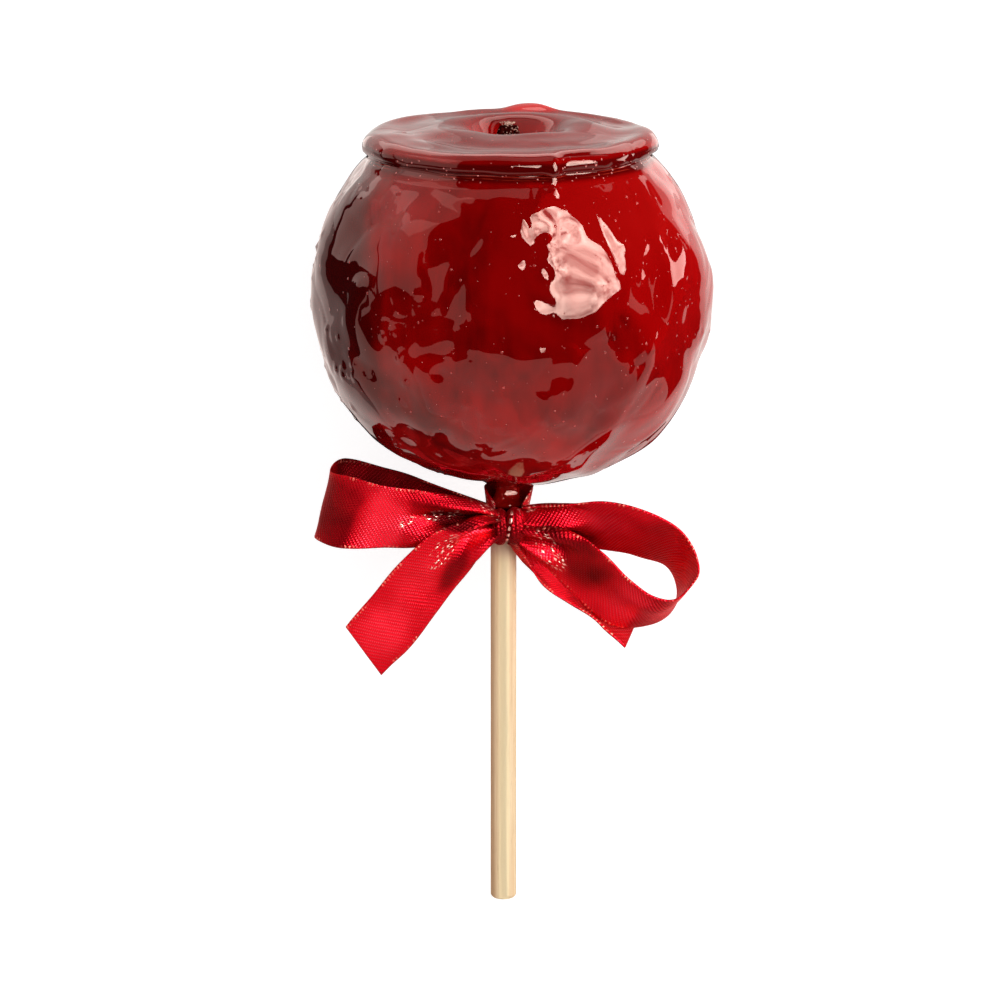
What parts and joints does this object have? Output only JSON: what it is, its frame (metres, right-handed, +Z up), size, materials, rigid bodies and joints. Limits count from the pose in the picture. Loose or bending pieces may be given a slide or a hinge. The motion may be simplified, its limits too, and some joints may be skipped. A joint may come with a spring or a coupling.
{
  "type": "toffee apple",
  "caption": "Whole apple under a thick glossy red toffee coat with a flat set disc round the crown, on a wooden stick tied with a satin ribbon bow; lies on its side.",
  "frame": {"origin": "on the floor under the stick's axis, inside the small flat spot that the apple rests on", "axes": "+Y from the stick's tip towards the toffee disc along the length, +Z up away from the floor, +X to the right of the side with the bow's knot"},
  "size_m": [0.0761, 0.1541, 0.0759],
  "materials": {
    "toffee": "glassy clear red hard toffee over red apple skin, with broad set-in waves, small bubbles and a few pimples",
    "calyx": "dry dark brown sepals with pale golden hairs",
    "stick": "plain pale birch dowel with fine straight grain, sanded, uncoated",
    "ribbon": "red double-faced satin with fine diagonal weave and woven selvedges"
  },
  "bodies": {
    "root": {"toffee_apple": "toffee", "calyx": "calyx", "stick": "stick", "ribbon_bow": "ribbon"}
  },
  "joints": []
}
